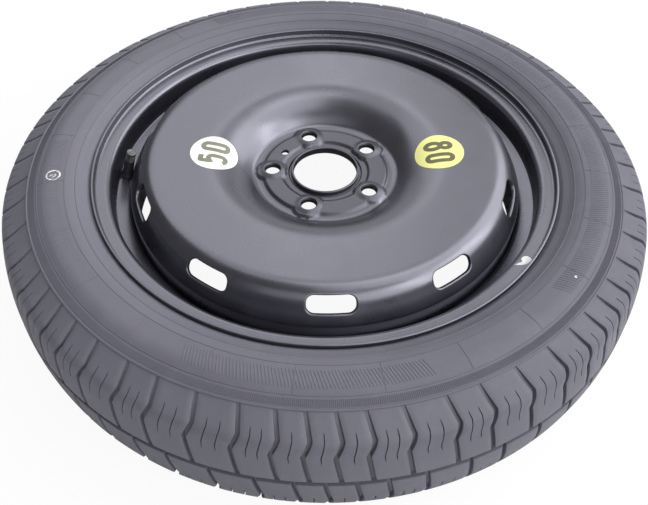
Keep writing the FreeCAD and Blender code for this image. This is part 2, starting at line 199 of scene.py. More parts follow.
def noiseAt(nodes, links, coords, scale, detail, rough=0.55):
    noise = nodes.new("ShaderNodeTexNoise")
    noise.inputs["Scale"].default_value = scale
    noise.inputs["Detail"].default_value = detail
    noise.inputs["Roughness"].default_value = rough
    links.new(coords.outputs["Object"], noise.inputs["Vector"])
    return noise.outputs["Fac"]


def spread(nodes, links, value, low, high, fromLow=0.3, fromHigh=0.7):
    remap = nodes.new("ShaderNodeMapRange")
    remap.inputs["From Min"].default_value = fromLow
    remap.inputs["From Max"].default_value = fromHigh
    remap.inputs["To Min"].default_value = low
    remap.inputs["To Max"].default_value = high
    links.new(value, remap.inputs["Value"])
    return remap.outputs["Result"]


def mixColours(nodes, links, factor, colourA, colourB):
    mix = nodes.new("ShaderNodeMix")
    mix.data_type = "RGBA"
    links.new(factor, mix.inputs["Factor"])
    for socket, colour in ((mix.inputs[6], colourA), (mix.inputs[7], colourB)):   # its two colour sockets
        if isinstance(colour, tuple):
            socket.default_value = (*colour, 1)
        else:
            links.new(colour, socket)
    return mix.outputs[2]


def bumpFrom(nodes, links, height, distance, strength):
    bump = nodes.new("ShaderNodeBump")
    bump.inputs["Strength"].default_value = strength
    bump.inputs["Distance"].default_value = distance
    links.new(height, bump.inputs["Height"])
    return bump


rubberLook = {
    "dark": (0.074, 0.073, 0.098), "light": (0.094, 0.093, 0.122), "specular": 0.5,
    "dust": (0.15, 0.15, 0.185), "dustShare": 0.35, "dustFrom": 0.52, "dustTo": 0.75,
    # painted sheen: the tyre is mixed towards this lighter bluish grey on its left side, standing in for light
    # falling there; its share runs along x, in metres
    "paintedLeftLight": (0.155, 0.154, 0.190), "paintedLeftLightShare": 0.75, "paintedLeftLightFrom": -0.30, "paintedLeftLightTo": 0.22,   # metres across
    "cloudScale": 14.0, "blotchScale": 45.0, "grainScale": 900.0, "grainDepth": 0.00006, "grainStrength": 0.6,
    "roughLow": 0.50, "roughHigh": 0.66,
}


def makeRubber():
    look = rubberLook
    finish, nodes, links, shader = newFinish("tyreRubber")
    coords = nodes.new("ShaderNodeTexCoord")
    cloudy = noiseAt(nodes, links, coords, look["cloudScale"], detail=4.0)
    grain = noiseAt(nodes, links, coords, look["grainScale"], detail=2.0)
    blotch = noiseAt(nodes, links, coords, look["blotchScale"], detail=5.0, rough=0.65)
    base = mixColours(nodes, links, spread(nodes, links, cloudy, 0, 1), look["dark"], look["light"])
    dusty = spread(nodes, links, blotch, 0.0, look["dustShare"], look["dustFrom"], look["dustTo"])
    dusted = mixColours(nodes, links, dusty, base, look["dust"])
    # painted sheen: the rubber turns lighter towards the left (-x) side, standing in for the light on that side
    axes = nodes.new("ShaderNodeSeparateXYZ")
    links.new(coords.outputs["Object"], axes.inputs["Vector"])
    paintedLeftLight = spread(nodes, links, axes.outputs["X"], look["paintedLeftLightShare"], 0.0, look["paintedLeftLightFrom"], look["paintedLeftLightTo"])
    links.new(mixColours(nodes, links, paintedLeftLight, dusted, look["paintedLeftLight"]), shader.inputs["Base Color"])
    rough = spread(nodes, links, blotch, look["roughLow"], look["roughHigh"])
    links.new(rough, shader.inputs["Roughness"])
    shader.inputs["Specular IOR Level"].default_value = look["specular"]
    bump = bumpFrom(nodes, links, grain, look["grainDepth"], look["grainStrength"])
    links.new(bump.outputs["Normal"], shader.inputs["Normal"])
    return finish


paintLook = {
    "base": (0.010, 0.010, 0.013), "worn": (0.020, 0.020, 0.025), "roughLow": 0.24, "roughHigh": 0.33,
    "specular": 1.0, "ior": 1.8, "sheen": (0.85, 0.85, 1.0), "cloudScale": 18.0,
    "peelScale": 320.0, "peelDepth": 0.00004, "peelStrength": 0.35,
    "hubDull": 0.06, "hubSpecular": 0.62, "hubFrom": 0.064, "hubTo": 0.072,   # the hub is duller, metres out
}


def makePaint():
    look = paintLook
    finish, nodes, links, shader = newFinish("blackPaint")
    coords = nodes.new("ShaderNodeTexCoord")
    cloudy = noiseAt(nodes, links, coords, look["cloudScale"], detail=4.0)
    peel = noiseAt(nodes, links, coords, look["peelScale"], detail=2.0)
    base = mixColours(nodes, links, spread(nodes, links, cloudy, 0, 1), look["base"], look["worn"])
    links.new(base, shader.inputs["Base Color"])
    axes = nodes.new("ShaderNodeSeparateXYZ")
    links.new(coords.outputs["Object"], axes.inputs["Vector"])
    flat = nodes.new("ShaderNodeCombineXYZ")
    for axis in "XY":
        links.new(axes.outputs[axis], flat.inputs[axis])
    reach = nodes.new("ShaderNodeVectorMath")
    reach.operation = "LENGTH"
    links.new(flat.outputs["Vector"], reach.inputs[0])
    hubSpan = look["hubFrom"], look["hubTo"]
    dull = spread(nodes, links, reach.outputs["Value"], look["hubDull"], 0.0, *hubSpan)
    rough = nodes.new("ShaderNodeMath")
    rough.operation = "ADD"
    links.new(spread(nodes, links, cloudy, look["roughLow"], look["roughHigh"]), rough.inputs[0])
    links.new(dull, rough.inputs[1])
    links.new(rough.outputs["Value"], shader.inputs["Roughness"])
    shine = spread(nodes, links, reach.outputs["Value"], look["hubSpecular"], look["specular"], *hubSpan)
    links.new(shine, shader.inputs["Specular IOR Level"])
    shader.inputs["IOR"].default_value = look["ior"]
    shader.inputs["Specular Tint"].default_value = (*look["sheen"], 1)
    bump = bumpFrom(nodes, links, peel, look["peelDepth"], look["peelStrength"])
    links.new(bump.outputs["Normal"], shader.inputs["Normal"])
    return finish


def makePlain(name, colour, rough, metal=0.0, noiseScale=120.0, vary=0.25, roughVary=0.15, ior=1.5):
    finish, nodes, links, shader = newFinish(name)
    coords = nodes.new("ShaderNodeTexCoord")
    cloudy = noiseAt(nodes, links, coords, noiseScale, detail=4.0)
    darker = tuple(c * (1 - vary) for c in colour)
    tone = mixColours(nodes, links, spread(nodes, links, cloudy, 0, 1), darker, colour)
    links.new(tone, shader.inputs["Base Color"])
    gloss = spread(nodes, links, cloudy, rough * (1 - roughVary), rough * (1 + roughVary))
    links.new(gloss, shader.inputs["Roughness"])
    shader.inputs["Metallic"].default_value = metal
    shader.inputs["IOR"].default_value = ior
    return finish


tyreRubber = makeRubber()
blackPaint = makePaint()
valveRubber = makePlain("valveRubber", (0.04, 0.04, 0.048), 0.40)
capPlastic = makePlain("capPlastic", (0.06, 0.06, 0.066), 0.26, ior=1.9)
brass = makePlain("brass", (0.72, 0.53, 0.26), 0.32, 1.0)
sealRubber = makePlain("sealRubber", (0.02, 0.02, 0.02), 0.6)
springSteel = makePlain("springSteel", (0.55, 0.55, 0.57), 0.3, 1.0)
gasketPlastic = makePlain("gasketPlastic", (0.55, 0.08, 0.05), 0.4)
labelWhite = makePlain("labelWhite", (0.86, 0.86, 0.76), 0.35, 0.0, 60.0, 0.05)
labelYellow = makePlain("labelYellow", (0.85, 0.83, 0.28), 0.35, 0.0, 60.0, 0.06)
digitOlive = makePlain("digitOlive", (0.21, 0.215, 0.165), 0.5, 0.0, 200.0, 0.2)
digitDark = makePlain("digitDark", (0.13, 0.13, 0.06), 0.5, 0.0, 200.0, 0.3)
markWhite = makePlain("markWhite", (0.82, 0.83, 0.83), 0.5, 0.0, 300.0, 0.1)
print("finishes made")

nodeFinishes = {
    "tyre": tyreRubber, "rim": blackPaint, "wheel_disc": blackPaint, "disc_welds": blackPaint,
    "valve_body": valveRubber, "valve_stem": brass, "valve_core_barrel": brass, "valve_core_pin": brass,
    "valve_core_seal": sealRubber, "valve_core_spring": springSteel, "valve_core_gasket": gasketPlastic,
    "valve_cap": capPlastic, "valve_cap_seal": sealRubber,
    "speed_label_50": labelWhite, "speed_label_80": labelYellow,
}
for node, finish in nodeFinishes.items():
    dress(node, finish)
print("nodes dressed")


# tyre: tread blocks and sidewalls as one closed mesh
tyreSizes = {
    "radius": 326.0, "halfGroove": 3.0, "grooveDepth": 4.6, "grooveSlope": 0.6, "grooveLip": 0.25,
    "crossWidth": 4.4, "crossFloor": 3.2, "crossDepth": 4.0, "fadeRamp": 0.4, "fadeShare": 0.25,
    "edgeRound": 0.55, "edgeDrop": 0.22, "dropRamp": 2.0,
    "swing": 5.5, "outerBend": 49.5, "innerBend": 36.0, "outerEnd": 60.2,
    "pitchPattern": "SMLMLLMSS", "patternRepeats": 7, "pitchShares": {"S": 0.8, "M": 1.0, "L": 1.2},
    "sipes": {"S": 1, "M": 2, "L": 2}, "sipeWidth": 0.9, "sipeFloor": 0.55, "sipeDepth": 2.6, "sipeFollow": 0.5,
    "sipeFrom": 29.5, "sipeTo": 52.0, "sipeRampIn": 1.2, "sipeRampOut": 1.0,
    "pitchClock": 271.5, "lowerLead": 3.2, "wallColumns": 360,
}
treadCorners = [(326.0, 3.0, 0), (326.0, 21.0, 150.0), (320.4, 47.5, 13.0), (306.0, 54.4, 0), (292.4, 61.2, 0)]
treadRows = [3.0, 3.5, 5.5, 9.0, 14.0, 20.0, 25.5, 28.5, 29.8, 31.2, 33.5, 36.0, 38.5, 41.5, 44.0, 46.2, 48.0,
             49.5, 50.8, 51.6, 52.6, 54.4, 56.2, 57.8, 59.2, 60.2, 61.2]   # heights of the mesh rows


def treadSurface():
    path = bentPath(treadCorners, arcStep=1.0, lineStep=1.0)
    order = np.argsort(path[:, 1], kind="stable")
    return path[order]


def zigzag(w):
    t = tyreSizes
    return np.interp(w, [t["halfGroove"], t["innerBend"], t["outerBend"], t["outerEnd"]],
                     [t["swing"], 0.0, t["swing"], 0.0]) - t["swing"] / 2


# columns of one turn of the tread: (angle, share of the zigzag, groove share, sipe share, edge drop)
def treadColumns():
    t = tyreSizes
    letters = t["pitchPattern"] * t["patternRepeats"]
    total = sum(t["pitchShares"][k] for k in letters)
    around = 2 * math.pi * t["radius"]
    half, floor, edge = t["crossWidth"] / 2, t["crossFloor"] / 2, t["edgeRound"]
    groove = ((-half - edge, 0, 0), (-half, 0, t["edgeDrop"]), (-floor, 1, 0),
              (floor, 1, 0), (half, 0, t["edgeDrop"]), (half + edge, 0, 0))
    sipe = ((-1, 0.0), (-t["sipeFloor"], 1.0), (t["sipeFloor"], 1.0), (1, 0.0))
    columns = []
    place = 0.0
    for letter in letters:
        pitch = around * t["pitchShares"][letter] / total
        columns += [(place + s, 1.0, deep, 0.0, drop) for s, deep, drop in groove]
        count = t["sipes"][letter]
        span = (pitch - 2 * half) / (count + 1)
        for k in range(count + 1):
            start = half + k * span
            follow = t["sipeFollow"] if 0 < k < count else (1.0 + t["sipeFollow"]) / 2
            columns.append((place + start + span / 2, follow, 0, 0.0, 0))
            if k < count:
                cut = place + start + span
                columns += [(cut + s * t["sipeWidth"] / 2, t["sipeFollow"], 0, deep, 0) for s, deep in sipe]
        place += pitch
    table = np.array(columns)
    table[:, 0] /= t["radius"]
    return table


def treadRings(side):
    t = tyreSizes
    surface = treadSurface()
    columns = treadColumns()
    angle0 = math.radians(t["pitchClock"] + (t["lowerLead"] if side < 0 else 0.0))

    def ring(w, r, nr, nw, grooveDepth, sipeDepth, dropShare):
        swing = side * zigzag(w) * columns[:, 1] / t["radius"]
        depth = columns[:, 2] * grooveDepth + columns[:, 3] * sipeDepth + columns[:, 4] * dropShare
        radius = r - nr * depth
        height = midHeight + side * (w - nw * depth)
        angles = angle0 + columns[:, 0] + swing
        return np.stack([radius * np.cos(angles), radius * np.sin(angles), height], 1)

    floorR = t["radius"] - t["grooveDepth"]
    rings = [ring(w, floorR, 1.0, 0.0, 0.0, 0.0, 0.0) for w in (0.0, t["halfGroove"] - t["grooveSlope"])]
    fadeSpan = [t["outerBend"], t["outerEnd"] - t["fadeRamp"], t["outerEnd"]]
    sipeSpan = [t["sipeFrom"], t["sipeFrom"] + t["sipeRampIn"], t["sipeTo"] - t["sipeRampOut"], t["sipeTo"]]
    dropSpan = [t["outerEnd"] - t["dropRamp"], t["outerEnd"]]
    for w in treadRows:
        r, nr, nw = (np.interp(w, surface[:, 1], surface[:, k]) for k in (0, 2, 3))
        cross = t["crossDepth"] * np.interp(w, fadeSpan, [1.0, t["fadeShare"], 0.0])
        sipe = t["sipeDepth"] * np.interp(w, sipeSpan, [0.0, 1.0, 1.0, 0.0])
        drop = np.interp(w, dropSpan, [1.0, 0.0])
        lip = t["grooveLip"] if w == treadRows[0] else 0.0   # the centre groove's edge is rounded
        rings.append(ring(w, r - lip, -nr, -nw, cross, sipe, drop))   # the path's normals point inwards
    return rings


wallCorners = [(292.4, 61.2, 0), (285.8, 63.4, 0), (276.0, 67.66, 30.0), (252.0, 67.66, 30.0), (243.0, 62.2, 2.0),
               (237.6, 59.8, 1.6), (234.7, 57.4, 0)]
beadCorners = [(233.75, 56.6, 0), (233.75, 50.75, 5.65), (218.35, 50.75, 3.95), (216.775, 32.8, 1.5),
               (238.3, 41.8, 20.0), (252.0, 61.0, 20.0), (285.0, 61.0, 20.0), (312.5, 40.0, 20.0), (312.5, 0.0, 0)]


def wallRings(side):
    t = tyreSizes
    angles = math.radians(t["pitchClock"]) + evenTurns(t["wallColumns"])
    wall = bentPath(wallCorners + [beadCorners[0]], arcStep=3.0, lineStep=2.0)[1:]
    bead = bentPath(beadCorners, arcStep=12.0, lineStep=14.0)[1:]
    return [turnedRing(r, midHeight + side * w, angles) for r, w, _, _ in np.concatenate([wall, bead])]


def makeTyre():
    upper = treadRings(1) + wallRings(1)
    lower = treadRings(-1) + wallRings(-1)
    points, faces = joinRings(upper + list(reversed(lower[1:])))
    faces = [tuple(reversed(f)) for f in faces]
    tyre = addPiece("tyreTreadAndWalls", points, faces, tyreRubber, sharpAngle=38.0)
    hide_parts("tyre")
    print("tyre made:", len(points), "points,", len(faces), "faces")


makeTyre()


# wheel disc: one pressed sheet, its hub relief and vent slots laid out flat and then mapped onto the sheet
discSizes = {
    "sheet": 3.8, "gridClock": 271.1, "hubInner": 38.5, "hubOuter": 72.0,
    "padInner": 44.5, "padOuter": 63.5, "padRamp": 3.6, "padRise": 2.6,
    "boltCount": 5, "boltCircle": 54.0, "boltClock": 180.0, "boltHole": 7.5, "boltCone": 8.7, "coneDepth": 2.08,
    "seatRise": 2.0, "seatLand": 9.0, "seatEdge": 0.5, "edgeSink": 0.43, "hillFoot": 14.9, "hillMix": (0.7, 0.3),
    "lobeTop": 13.6, "lobeFoot": 17.0, "lobeStretch": 0.86, "lobeFrom": (39.2, 41.6), "lobeTo": (69.0, 71.6),
    "pinHole": 3.75, "pinCircle": 50.0, "pinClock": 147.0, "pinEdge": 0.6, "pinSink": 0.5,
    "boreRadius": 32.55, "collarWall": 2.5, "collarTop": 7.5,
    "grooveFloor": 2.3, "grooveTop": 37.9, "grooveFoot": 36.9,
    "slotWide": 22.3, "slotTall": 9.0, "slotSpot": (188.38, 19.34), "slotCorner": 7.5, "slotEdge": 0.7,
    "slotCount": 10, "slotsFrom": 165.5, "flankFrom": 172.0, "slotsTo": 6.0,   # radius, radius, height
}
bowlCorners = [(60.0, discSizes["sheet"], 0), (73.2, discSizes["sheet"], 9.0), (97.0, 27.72, 64.0),
               (182.25, 30.85, 21.2), (198.15, 1.1, 8.0), (198.15, -44.0, 0)]
footR, footZ, footBend = bowlCorners[1]
bowlLean = math.atan2(bowlCorners[2][1] - footZ, bowlCorners[2][0] - footR)
footStart = footR - footBend * math.tan(bowlLean / 2)   # where the hub face turns up into the bowl


def smooth(value, low, high):
    t = np.clip((value - low) / (high - low), 0, 1)
    return t * t * (3 - 2 * t)


def boltSpots():
    d = discSizes
    angles = np.radians(d["boltClock"] + 360.0 / d["boltCount"] * np.arange(d["boltCount"]))
    return np.stack([np.cos(angles), np.sin(angles)], 1)


# share of the pad's rise: a ring, with a lobe round each bolt
def padShare(x, y, lobes=True):
    d = discSizes
    r = np.hypot(x, y)
    half, inner, outer = d["padRamp"] / 2, d["padInner"], d["padOuter"]
    share = smooth(r, inner - half, inner + half) * smooth(-r, -outer - half, -outer + half)
    if lobes:
        start, end = d["lobeTo"]
        ends = smooth(r, *d["lobeFrom"]) * smooth(-r, -end, -start)   # lobes die out before the hub's edges
        for c, s in boltSpots():
            along = x * c + y * s - d["boltCircle"]
            across = -x * s + y * c
            along = np.where(along > 0, along * d["lobeStretch"], along)
            lobe = smooth(-np.hypot(along, across), -d["lobeFoot"], -d["lobeTop"])
            share = np.maximum(share, lobe * ends)
    return share


def hubTop(x, y):
    d = discSizes
    rise = np.clip(np.hypot(x, y) - footStart, 0, None)
    height = d["sheet"] + footBend - np.sqrt(footBend ** 2 - rise ** 2)
    near = np.min([np.hypot(x - d["boltCircle"] * c, y - d["boltCircle"] * s) for c, s in boltSpots()], 0)
    climb = np.clip((d["hillFoot"] - near) / (d["hillFoot"] - d["seatLand"]), 0, 1)
    straight, soft = d["hillMix"]
    hill = straight * climb + soft * smooth(climb, 0, 1)
    height = height + padShare(x, y) * (d["padRise"] + d["seatRise"] * hill)
    seat = d["sheet"] + d["padRise"] + d["seatRise"]
    top, edge = d["boltCone"], d["seatEdge"]
    cone = seat - (top - near) * d["coneDepth"] / (top - d["boltHole"])
    gap = np.clip((near - top + edge) / (2 * edge), 0, 1)
    rounded = seat - d["edgeSink"] * (1 - gap) ** 2   # the seat's edge
    return np.where(near < top - edge, cone, np.where(near < top + edge, rounded, height))


def flatMesh(points, loops, keep):
    edges = []
    start = 0
    flat = []
    for loop in loops:
        count = len(loop)
        flat += [tuple(p) for p in loop]
        edges += [(start + i, start + (i + 1) % count) for i in range(count)]
        start += count
    flat += [tuple(p) for p in points]
    spots, _, faces, _, _, _ = delaunay_2d_cdt([Vector(p) for p in flat], edges, [], 0, 1e-6)
    spots = np.array([tuple(p) for p in spots])
    faces = np.array([tuple(f) for f in faces])
    middle = spots[faces].mean(1)
    return spots, faces[keep(middle)]


def circle(centre, radius, count, turn=0.0):
    angles = evenTurns(count) + turn
    return np.stack([centre[0] + radius * np.cos(angles), centre[1] + radius * np.sin(angles)], 1)


# where the hub's mesh has its points: rings round the holes, and rows in between that keep clear of them
hubMesh = {
    "sides": 360, "edgeClear": 0.5,
    "rowSides": 260, "rowStep": 1.15, "rowFirst": 1.0, "rowLast": 0.8, "rowTurn": 0.012,
    "boltSides": 56, "boltRings": (7.7, 8.1, 8.35, 8.6, 8.85, 9.1, 9.7, 10.7, 11.8, 13.0, 14.2, 15.4, 16.6),
    "boltClear": 17.6, "pinSides": 32, "pinRings": (4.0, 4.4, 5.2), "pinClear": 6.2,
}


def hubPatch():
    d, h = discSizes, hubMesh
    turn = math.radians(d["gridClock"])
    outer = circle((0, 0), d["hubOuter"], h["sides"], turn)
    inner = circle((0, 0), d["hubInner"], h["sides"], turn)
    bolts = [b * d["boltCircle"] for b in boltSpots()]
    pinTurn = math.radians(d["pinClock"])
    pin = np.array([math.cos(pinTurn), math.sin(pinTurn)]) * d["pinCircle"]
    holes = [circle(b, d["boltHole"], h["boltSides"]) for b in bolts] + [circle(pin, d["pinHole"], h["pinSides"])]
    extra = [circle(b, radius, h["boltSides"]) for b in bolts for radius in h["boltRings"]]
    extra = np.concatenate(extra + [circle(pin, radius, h["pinSides"]) for radius in h["pinRings"]])
    r = np.hypot(*extra.T)
    extra = extra[(r > d["hubInner"] + h["edgeClear"]) & (r < d["hubOuter"] - h["edgeClear"])]
    rows = np.arange(d["hubInner"] + h["rowFirst"], d["hubOuter"] - h["rowLast"], h["rowStep"])
    field = np.concatenate([circle((0, 0), row, h["rowSides"], turn + h["rowTurn"] * (i % 2))
                            for i, row in enumerate(rows)])
    gaps = np.min([np.hypot(*(field - b).T) for b in bolts], 0)
    field = field[(gaps > h["boltClear"]) & (np.hypot(*(field - pin).T) > h["pinClear"])]

    def keep(middle):
        r = np.hypot(*middle.T)
        ok = (r > d["hubInner"] - weldGap) & (r < d["hubOuter"])
        for b in bolts:
            ok &= np.hypot(*(middle - b).T) > d["boltHole"] - weldGap
        return ok & (np.hypot(*(middle - pin).T) > d["pinHole"] - weldGap)

    spots, faces = flatMesh(np.concatenate([field, extra]), [outer, inner] + holes, keep)
    x, y = spots.T
    r = np.hypot(x, y)
    top = np.stack([x, y, hubTop(x, y)], 1)
    gap = np.hypot(x - pin[0], y - pin[1]) - d["pinHole"]
    top[:, 2] -= d["pinSink"] * np.clip(1 - gap / d["pinEdge"], 0, 1) ** 2
    lean = np.arcsin(np.clip((r - footStart) / footBend, 0, 1))
    under = np.stack([x, y, d["padRise"] * padShare(x, y, lobes=False)], 1)
    grow = (r + d["sheet"] * np.sin(lean)) / r
    base = d["sheet"] + footBend * (1 - np.cos(lean)) - d["sheet"] * np.cos(lean)
    under[:, :2] *= grow[:, None]
    under[:, 2] += base
    return top, under, faces, holes, spots


def nearestIndex(spots, loop):
    return [int(np.argmin(np.hypot(*(spots - p).T))) for p in loop]


class PointPile:
    def __init__(self):
        self.points, self.faces, self.count = [], [], 0

    def add(self, points, faces):
        self.points.append(np.asarray(points))
        self.faces += [tuple(int(v) + self.count for v in f) for f in faces]
        self.count += len(points)
        return self.count - len(points)


# both faces of a patch, with walls round its holes
def addSheetPatch(pile, top, under, faces, holeRings):
    a = pile.add(top, faces)
    b = pile.add(under, [tuple(reversed(f)) for f in faces])
    for ring in holeRings:
        count = len(ring)
        for i in range(count):
            k = (i + 1) % count
            pile.faces.append((a + ring[i], b + ring[i], b + ring[k], a + ring[k]))


# more points along a line, at even steps
def fineLine(line, closed, step=1.2):
    fine = []
    for i in range(len(line) if closed else len(line) - 1):
        a, b = np.array(line[i]), np.array(line[(i + 1) % len(line)])
        pieces = max(1, int(np.linalg.norm(b - a) / step))
        fine += [tuple(a + (b - a) * k / pieces) for k in range(pieces)]
    return fine if closed else fine + [tuple(line[-1])]


def roundedFrame(halfWide, halfTall, corner, centre, step=2.2, cornerSteps=8):
    points = []
    for sx, sy, start in ((1, 1, 0), (-1, 1, 90), (-1, -1, 180), (1, -1, 270)):
        cx, cy = sx * (halfWide - corner), sy * (halfTall - corner)
        for k in range(cornerSteps + 1):
            a = math.radians(start + 90 * k / cornerSteps)
            points.append((cx + corner * math.cos(a), cy + corner * math.sin(a)))
    return np.array(fineLine(points, True, step)) + np.asarray(centre)


def pathTable(corners):
    path = bentPath(corners, arcStep=1.0, lineStep=1.0)
    steps = np.hypot(np.diff(path[:, 0]), np.diff(path[:, 1]))
    return np.concatenate([[0], np.cumsum(steps)]), path


def onPath(table, s):
    lengths, path = table
    lengths = lengths + np.arange(len(lengths)) * 1e-9   # rows at one place stay in order
    return [np.interp(s, lengths, path[:, k]) for k in range(4)]


def latheRows(table, sheet, s, angles):
    r, z, nr, nz = onPath(table, s)
    upper = [turnedRing(r[i], z[i], angles) for i in range(len(s))]
    lower = [turnedRing(r[i] - sheet * nr[i], z[i] - sheet * nz[i], angles) for i in range(len(s))]
    return upper, lower


# the path lengths of a lathe's rows between two places on its path
def rowsBetween(table, corners, start, end, clear=0.6):
    lengths, path = table
    rows = bentPath(corners, arcStep=5.0, lineStep=9.0)
    spots = [lengths[np.argmin(np.hypot(path[:, 0] - r, path[:, 1] - z))] for r, z, _, _ in rows]
    inside = [s for s in spots if start + clear < s < end - clear]
    return np.array(sorted({round(v, 4) for v in [start, *inside, end]}))


sectorMesh = {"frameClear": 1.4, "borderClear": 0.4, "edgeReach": 0.8, "underShare": 0.6}


# a sector of a sheet with one round-cornered hole, laid out flat and put on the path at each clock
def addSectors(pile, table, sheet, look):
    reach, middle, wide, tall, corner = (look[k] for k in ("reach", "middle", "wide", "tall", "corner"))
    columns = np.radians(np.arange(-look["columns"], look["columns"] + 1)) * reach
    downs = look["downs"]
    border = [(c, downs[0]) for c in columns] + [(columns[-1], s) for s in downs[1:-1]]
    border += [(c, downs[-1]) for c in reversed(columns)] + [(columns[0], s) for s in reversed(downs[1:-1])]
    frames = [roundedFrame(wide + g, tall + g, corner + g, (0, middle)) for g in look["frames"]]
    field = np.stack([axis.ravel() for axis in np.meshgrid(columns[1:-1], downs[1:-1])], 1)
    margin = look["frames"][-1] + sectorMesh["frameClear"]
    outside = (np.abs(field[:, 0]) > wide + margin) | (np.abs(field[:, 1] - middle) > tall + margin)

    def gapTo(p):
        dx = np.clip(np.abs(p[:, 0]) - (wide - corner), 0, None)
        dy = np.clip(np.abs(p[:, 1] - middle) - (tall - corner), 0, None)
        return np.hypot(dx, dy) - corner

    extra = np.concatenate([field[outside]] + frames[1:])
    clear = sectorMesh["borderClear"]
    extra = extra[(extra[:, 1] > downs[0] + clear) & (extra[:, 1] < downs[-1] - clear)]
    spots, faces = flatMesh(extra, [np.array(border), frames[0]], lambda centres: gapTo(centres) > -weldGap)
    sink = look["edge"] * np.clip(1 - gapTo(spots) / sectorMesh["edgeReach"], 0, 1) ** 2
    r, z, nr, nz = onPath(table, spots[:, 1])
    ring = nearestIndex(spots, frames[0])
    for clock in look["clocks"]:
        angles = math.radians(clock) + spots[:, 0] / reach

        def place(depth):
            radius = r - nr * depth
            return np.stack([radius * np.cos(angles), radius * np.sin(angles), z - nz * depth], 1)

        addSheetPatch(pile, place(sink), place(sheet - sink * sectorMesh["underShare"]), faces, [ring])


bowlTable = pathTable(bowlCorners)


def makeDisc():
    d = discSizes
    pile = PointPile()
    top, under, faces, holes, spots = hubPatch()
    addSheetPatch(pile, top, under, faces, [nearestIndex(spots, hole) for hole in holes])
    around = np.radians(d["gridClock"] + np.arange(360))
    sheet, bore, floor, rise = d["sheet"], d["boreRadius"], d["grooveFloor"], d["collarTop"]
    outside = bore + d["collarWall"]
    collar = bentPath([(d["hubInner"], sheet, 0), (d["grooveTop"], sheet, 0), (d["grooveFoot"], floor, 0.6),
                       (outside, floor, 0.5), (outside, rise, 0.9), (bore, rise, 0.9), (bore, 0.0, 0.8),
                       (d["hubInner"], 0.0, 0)], arcStep=15.0, lineStep=3.0)
    pile.add(*joinRings([turnedRing(r, z, around) for r, z, _, _ in collar], closed=False))

    lengths, path = bowlTable
    flank = np.where((path[:, 0] > d["flankFrom"]) & (path[:, 1] > 0))[0]
    slotsFrom = lengths[np.argmin(np.abs(path[:, 0] - d["slotsFrom"]))]
    slotsTo = np.interp(-d["slotsTo"], -path[flank, 1], lengths[flank])
    hubEdge = np.interp(d["hubOuter"], path[:, 0], lengths)
    upper, lower = latheRows(bowlTable, sheet, rowsBetween(bowlTable, bowlCorners, hubEdge, slotsFrom), around)
    pile.add(*joinRings(upper, closed=False))
    pile.add(*joinRings(list(reversed(lower)), closed=False))
    upper, lower = latheRows(bowlTable, sheet, rowsBetween(bowlTable, bowlCorners, slotsTo, lengths[-1]), around)
    pile.add(*joinRings(upper + list(reversed(lower)), closed=False))
    slotR, slotZ = d["slotSpot"]
    addSectors(pile, bowlTable, sheet, {
        "reach": slotR, "middle": lengths[np.argmin(np.hypot(path[:, 0] - slotR, path[:, 1] - slotZ))],
        "wide": d["slotWide"], "tall": d["slotTall"], "corner": d["slotCorner"], "edge": d["slotEdge"],
        "columns": 180 // d["slotCount"], "downs": np.linspace(slotsFrom, slotsTo, 17),
        "frames": (0, 0.3, 0.8, 1.8, 3.2),
        "clocks": d["gridClock"] + 360.0 / d["slotCount"] * np.arange(d["slotCount"])})
    disc = addPiece("discPressing", np.concatenate(pile.points), pile.faces, blackPaint, sharpAngle=40.0, weld=True)
    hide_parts("wheel_disc")
    print("disc made:", len(disc.data.vertices), "points,", len(disc.data.polygons), "faces")


makeDisc()


# rim: rolled band with rounded lips and the valve's hole
rimSizes = {"sheet": 2.6, "lipRound": 0.9, "lipGap": 0.1, "lipHeight": 23.0, "valveClock": 176.7, "valveHole": 5.65,
            "holeSpot": (208.919, -14.960), "holeMargin": 9.0, "holeColumns": 4}
rimHalf = [(233.7, 61.0, 0), (233.7, 50.8, 5.6), (218.3, 50.8, 4.0), (216.638, 31.8, 6.0), (217.838, 28.6, 4.0),
           (216.638, 25.4, 3.0), (200.8, 20.558, 3.0)]
rimCorners = [(r, midHeight + w, bend) for r, w, bend in rimHalf]
rimCorners += [(r, midHeight - w, bend) for r, w, bend in reversed(rimHalf)]


